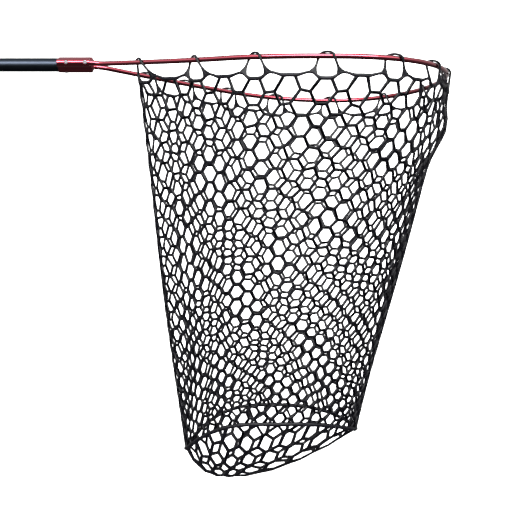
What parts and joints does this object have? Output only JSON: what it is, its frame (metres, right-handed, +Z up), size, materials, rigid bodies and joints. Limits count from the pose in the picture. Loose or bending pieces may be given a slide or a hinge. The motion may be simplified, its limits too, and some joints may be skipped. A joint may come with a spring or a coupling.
{
  "type": "landing net",
  "caption": "Hand landing net: teardrop hoop of red anodised tube in a winged yoke, deep black rubber mesh bag hung by loops, and a twist-lock telescopic handle with a foam grip.",
  "frame": {"origin": "on the handle's axis at the middle of the grip", "axes": "+X along the handle towards the hoop's tip, +Z up, the bag hangs along -Z, -Y is the near side"},
  "size_m": [1.0741, 0.4739, 0.6759],
  "materials": {
    "red_anodised": "satin anodised, red",
    "black_anodised": "satin anodised, black",
    "screw_steel": "darkened stainless screws",
    "steel": "plain stainless wire",
    "black_nylon": "moulded, fine texture",
    "white_nylon": "moulded, natural",
    "foam": "closed-cell foam, matt",
    "net_rubber": "moulded rubber mesh, slightly glossy"
  },
  "bodies": {
    "handle": {"rear_tube": "black_anodised", "grip_sleeve": "foam", "end_cap": "black_nylon", "lock_ferrule": "black_nylon", "lock_collet": "white_nylon"},
    "lock_nut": {"lock_nut": "black_nylon"},
    "hang_ring": {"hang_ring": "steel"},
    "net_head": {"front_tube": "black_anodised", "guide_bush": "white_nylon", "yoke": "red_anodised", "barrel_plug": "red_anodised", "handle_rivet": "screw_steel", "leg_screw_near_1": "screw_steel", "leg_screw_near_2": "screw_steel", "leg_screw_far_1": "screw_steel", "leg_screw_far_2": "screw_steel", "hoop": "red_anodised", "net_rim": "net_rubber", "net_wall": "net_rubber", "net_seam": "net_rubber", "net_bottom": "net_rubber"}
  },
  "joints": [
    {"name": "handle_slide", "type": "slide", "parent": "handle", "child": "net_head", "axis": [1, 0, 0], "range_m": [0, 0.2]},
    {"name": "lock_nut_turn", "type": "hinge", "parent": "handle", "child": "lock_nut", "pos_m": [0.15, 0, 0], "axis": [1, 0, 0], "range_deg": [0, 120]},
    {"name": "hang_ring_swing", "type": "hinge", "parent": "handle", "child": "hang_ring", "pos_m": [-0.147, 0, 0], "axis": [0, 1, 0], "range_deg": [-15, 195]}
  ]
}
